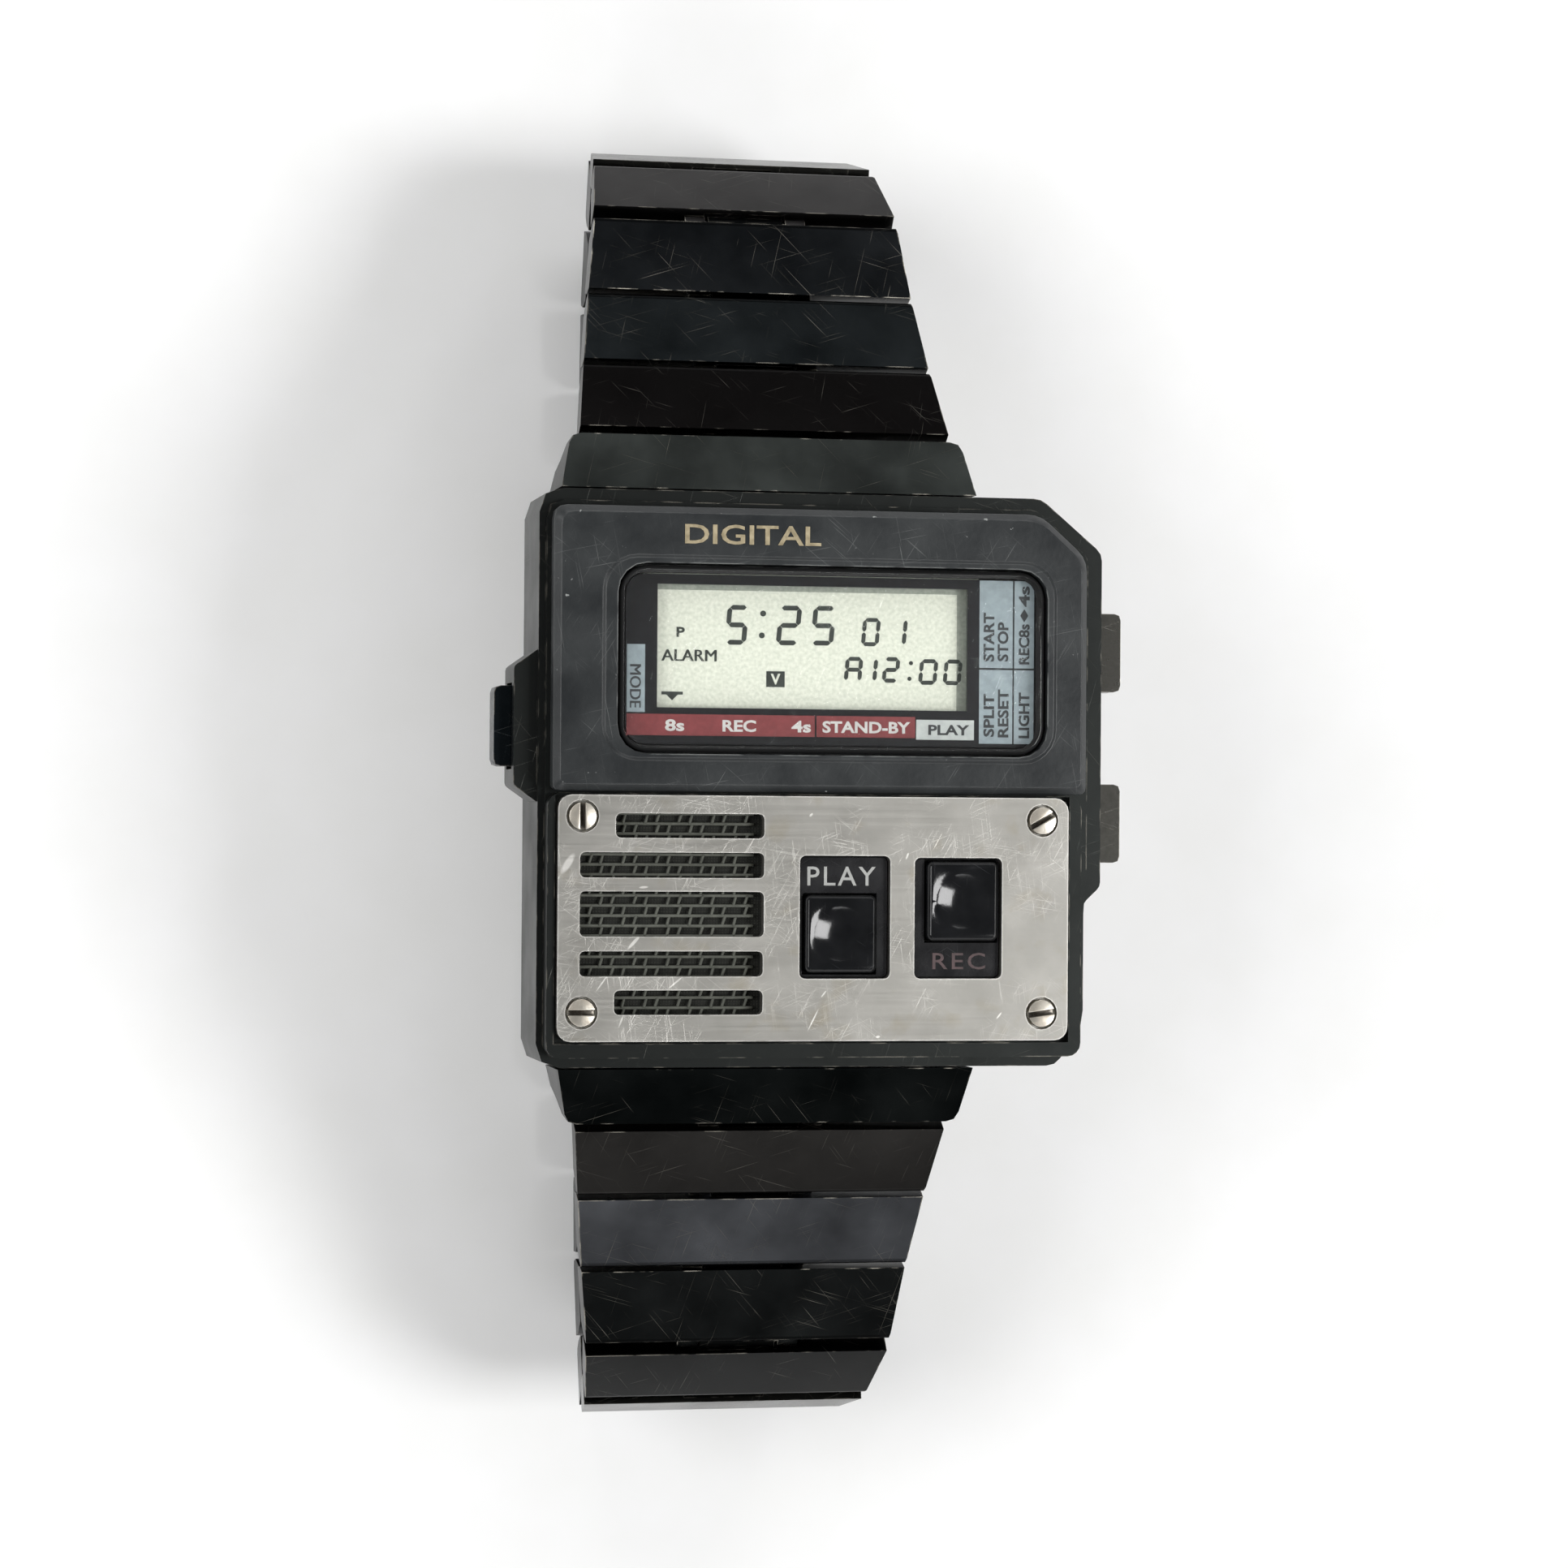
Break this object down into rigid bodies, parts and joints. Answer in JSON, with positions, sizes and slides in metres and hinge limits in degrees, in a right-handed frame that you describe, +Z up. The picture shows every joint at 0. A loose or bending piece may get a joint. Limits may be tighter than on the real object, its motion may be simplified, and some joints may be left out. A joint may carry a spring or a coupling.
{
  "type": "voice recorder wristwatch",
  "caption": "Black digital wristwatch with a steel speaker plate, two dished top buttons, side pushers and a tapering link bracelet closed by a fold-over clasp.",
  "frame": {"origin": "centre of the clasp's flat outer face, which the closed watch lies on", "axes": "+Z up out of the display, +Y to the twelve o'clock end of the bracelet, +X to the two right-hand pushers"},
  "size_m": [0.0427, 0.0888, 0.0312],
  "materials": {
    "black_steel": "steel plated black, worn bright along its edges",
    "black_paint": "blue-black satin plating with fine scratches",
    "brushed_steel": "brushed stainless steel, scratched in use",
    "mesh_steel": "dark woven wire",
    "worn_steel": "steel with its black plating rubbed away",
    "nickel_plate": "bright nickel plate",
    "spring_steel": "bright drawn wire",
    "crystal_glass": "clear hardened mineral glass",
    "display_glass": "pale reflective liquid crystal panel",
    "black_rubber": "black moulded rubber",
    "black_plastic": "black moulded plastic",
    "gloss_black": "polished black plastic",
    "board_green": "green lacquered circuit board"
  },
  "bodies": {
    "case": {"case_middle": "black_steel", "case_back": "brushed_steel", "case_back_gasket": "black_rubber", "case_back_screw_1": "nickel_plate", "case_back_screw_2": "nickel_plate", "case_back_screw_3": "nickel_plate", "case_back_screw_4": "nickel_plate", "bezel": "black_paint", "crystal": "crystal_glass", "crystal_gasket": "black_rubber", "display_mask": "black_plastic", "lcd_panel": "display_glass", "connector_strip": "black_rubber", "module_frame": "black_plastic", "circuit_board": "board_green", "voice_chip": "black_plastic", "battery_holder": "black_plastic", "battery_left": "nickel_plate", "battery_right": "nickel_plate", "speaker_plate": "brushed_steel", "speaker_mesh": "mesh_steel", "speaker_unit": "black_plastic", "plate_screw_1": "nickel_plate", "plate_screw_2": "nickel_plate", "plate_screw_3": "nickel_plate", "plate_screw_4": "nickel_plate", "button_housing": "black_plastic", "play_spring": "spring_steel", "record_spring": "spring_steel", "mode_spring": "spring_steel", "start_spring": "spring_steel", "reset_spring": "spring_steel", "upper_end_piece": "black_steel", "lower_end_piece": "black_steel"},
    "play_button": {"play_button": "gloss_black"},
    "record_button": {"record_button": "gloss_black"},
    "mode_button": {"mode_button": "black_steel"},
    "start_button": {"start_button": "worn_steel"},
    "reset_button": {"reset_button": "worn_steel"},
    "upper_link_1": {"upper_link_1": "black_steel"},
    "upper_link_2": {"upper_link_2": "black_steel"},
    "upper_link_3": {"upper_link_3": "black_steel"},
    "upper_link_4": {"upper_link_4": "black_steel"},
    "upper_link_5": {"upper_link_5": "black_steel"},
    "upper_link_6": {"upper_link_6": "black_steel"},
    "upper_link_7": {"upper_link_7": "black_steel"},
    "upper_link_8": {"upper_link_8": "black_steel"},
    "upper_link_9": {"upper_link_9": "black_steel"},
    "lower_link_1": {"lower_link_1": "black_steel"},
    "lower_link_2": {"lower_link_2": "black_steel"},
    "lower_link_3": {"lower_link_3": "black_steel"},
    "lower_link_4": {"lower_link_4": "black_steel"},
    "lower_link_5": {"lower_link_5": "black_steel"},
    "lower_link_6": {"lower_link_6": "black_steel"},
    "lower_link_7": {"lower_link_7": "black_steel"},
    "lower_link_8": {"lower_link_8": "black_steel"},
    "lower_link_9": {"lower_link_9": "black_steel"},
    "clasp_inner_blade": {"clasp_inner_blade": "brushed_steel"},
    "clasp_middle_blade": {"clasp_middle_blade": "brushed_steel"},
    "clasp_cover": {"clasp_cover": "black_steel"}
  },
  "joints": [
    {"name": "play_press", "type": "slide", "parent": "case", "child": "play_button", "axis": [0, 0, -1], "range_m": [0, 0.0005], "stiffness_N_per_m": 800, "springref_m": -0.0005, "deforming": ["play_spring"]},
    {"name": "record_press", "type": "slide", "parent": "case", "child": "record_button", "axis": [0, 0, -1], "range_m": [0, 0.0005], "stiffness_N_per_m": 800, "springref_m": -0.0005, "deforming": ["record_spring"]},
    {"name": "mode_press", "type": "slide", "parent": "case", "child": "mode_button", "axis": [1, 0, 0], "range_m": [0, 0.00055], "stiffness_N_per_m": 800, "springref_m": -0.0005, "deforming": ["mode_spring"]},
    {"name": "start_press", "type": "slide", "parent": "case", "child": "start_button", "axis": [-1, 0, 0], "range_m": [0, 0.00055], "stiffness_N_per_m": 800, "springref_m": -0.0005, "deforming": ["start_spring"]},
    {"name": "reset_press", "type": "slide", "parent": "case", "child": "reset_button", "axis": [-1, 0, 0], "range_m": [0, 0.00055], "stiffness_N_per_m": 800, "springref_m": -0.0005, "deforming": ["reset_spring"]},
    {"name": "upper_hinge_1", "type": "hinge", "parent": "case", "child": "upper_link_1", "pos_m": [0, 0.0225, 0.02576], "axis": [1, 0, 0], "range_deg": [-1, 12]},
    {"name": "upper_hinge_2", "type": "hinge", "parent": "upper_link_1", "child": "upper_link_2", "pos_m": [0, 0.02741, 0.02258], "axis": [1, 0, 0], "range_deg": [-7, 1]},
    {"name": "upper_hinge_3", "type": "hinge", "parent": "upper_link_2", "child": "upper_link_3", "pos_m": [0, 0.03262, 0.01992], "axis": [1, 0, 0], "range_deg": [-9, 1]},
    {"name": "upper_hinge_4", "type": "hinge", "parent": "upper_link_3", "child": "upper_link_4", "pos_m": [0, 0.03815, 0.01802], "axis": [1, 0, 0], "range_deg": [-1, 31]},
    {"name": "upper_hinge_5", "type": "hinge", "parent": "upper_link_4", "child": "upper_link_5", "pos_m": [0, 0.04199, 0.0136], "axis": [1, 0, 0], "range_deg": [-1, 28]},
    {"name": "upper_hinge_6", "type": "hinge", "parent": "upper_link_5", "child": "upper_link_6", "pos_m": [0, 0.0434, 0.00793], "axis": [1, 0, 0], "range_deg": [0, 52]},
    {"name": "upper_hinge_7", "type": "hinge", "parent": "upper_link_6", "child": "upper_link_7", "pos_m": [0, 0.0398, 0.00332], "axis": [1, 0, 0], "range_deg": [-1, 37]},
    {"name": "upper_hinge_8", "type": "hinge", "parent": "upper_link_7", "child": "upper_link_8", "pos_m": [0, 0.03418, 0.0017], "axis": [1, 0, 0], "range_deg": [-1, 13]},
    {"name": "upper_hinge_9", "type": "hinge", "parent": "upper_link_8", "child": "upper_link_9", "pos_m": [0, 0.02834, 0.0013], "axis": [1, 0, 0], "range_deg": [-1, 7]},
    {"name": "lower_hinge_1", "type": "hinge", "parent": "case", "child": "lower_link_1", "pos_m": [0, -0.0225, 0.02576], "axis": [-1, 0, 0], "range_deg": [-1, 12]},
    {"name": "lower_hinge_2", "type": "hinge", "parent": "lower_link_1", "child": "lower_link_2", "pos_m": [0, -0.02741, 0.02258], "axis": [-1, 0, 0], "range_deg": [-7, 1]},
    {"name": "lower_hinge_3", "type": "hinge", "parent": "lower_link_2", "child": "lower_link_3", "pos_m": [0, -0.03262, 0.01992], "axis": [-1, 0, 0], "range_deg": [-9, 1]},
    {"name": "lower_hinge_4", "type": "hinge", "parent": "lower_link_3", "child": "lower_link_4", "pos_m": [0, -0.03815, 0.01802], "axis": [-1, 0, 0], "range_deg": [-1, 31]},
    {"name": "lower_hinge_5", "type": "hinge", "parent": "lower_link_4", "child": "lower_link_5", "pos_m": [0, -0.04199, 0.0136], "axis": [-1, 0, 0], "range_deg": [-1, 28]},
    {"name": "lower_hinge_6", "type": "hinge", "parent": "lower_link_5", "child": "lower_link_6", "pos_m": [0, -0.0434, 0.00793], "axis": [-1, 0, 0], "range_deg": [0, 52]},
    {"name": "lower_hinge_7", "type": "hinge", "parent": "lower_link_6", "child": "lower_link_7", "pos_m": [0, -0.0398, 0.00332], "axis": [-1, 0, 0], "range_deg": [-1, 37]},
    {"name": "lower_hinge_8", "type": "hinge", "parent": "lower_link_7", "child": "lower_link_8", "pos_m": [0, -0.03418, 0.0017], "axis": [-1, 0, 0], "range_deg": [-1, 13]},
    {"name": "lower_hinge_9", "type": "hinge", "parent": "lower_link_8", "child": "lower_link_9", "pos_m": [0, -0.02834, 0.0013], "axis": [-1, 0, 0], "range_deg": [-1, 7]},
    {"name": "clasp_pivot", "type": "hinge", "parent": "upper_link_9", "child": "clasp_inner_blade", "pos_m": [0, 0.0225, 0.0015], "axis": [1, 0, 0], "range_deg": [0, 60]},
    {"name": "clasp_fold", "type": "hinge", "parent": "clasp_inner_blade", "child": "clasp_middle_blade", "pos_m": [0, -0.018, 0.0025], "axis": [-1, 0, 0], "range_deg": [0, 130]},
    {"name": "clasp_cover_hinge", "type": "hinge", "parent": "clasp_middle_blade", "child": "clasp_cover", "pos_m": [0, 0.019, 0.0019], "axis": [1, 0, 0], "range_deg": [-1, 131]}
  ],
  "couplings": [
    {"joint": "upper_hinge_1", "follows": "upper_hinge_6", "ratio": 0.21154},
    {"joint": "upper_hinge_2", "follows": "upper_hinge_6", "ratio": -0.11539},
    {"joint": "upper_hinge_3", "follows": "upper_hinge_6", "ratio": -0.15385},
    {"joint": "upper_hinge_4", "follows": "upper_hinge_6", "ratio": 0.57692},
    {"joint": "upper_hinge_5", "follows": "upper_hinge_6", "ratio": 0.51923},
    {"joint": "upper_hinge_7", "follows": "upper_hinge_6", "ratio": 0.69231},
    {"joint": "upper_hinge_8", "follows": "upper_hinge_6", "ratio": 0.23077},
    {"joint": "upper_hinge_9", "follows": "upper_hinge_6", "ratio": 0.11539},
    {"joint": "lower_hinge_1", "follows": "lower_hinge_6", "ratio": 0.21154},
    {"joint": "lower_hinge_2", "follows": "lower_hinge_6", "ratio": -0.11539},
    {"joint": "lower_hinge_3", "follows": "lower_hinge_6", "ratio": -0.15385},
    {"joint": "lower_hinge_4", "follows": "lower_hinge_6", "ratio": 0.57692},
    {"joint": "lower_hinge_5", "follows": "lower_hinge_6", "ratio": 0.51923},
    {"joint": "lower_hinge_7", "follows": "lower_hinge_6", "ratio": 0.69231},
    {"joint": "lower_hinge_8", "follows": "lower_hinge_6", "ratio": 0.23077},
    {"joint": "lower_hinge_9", "follows": "lower_hinge_6", "ratio": 0.11539},
    {"joint": "clasp_cover_hinge", "follows": "clasp_fold", "ratio": 1}
  ]
}
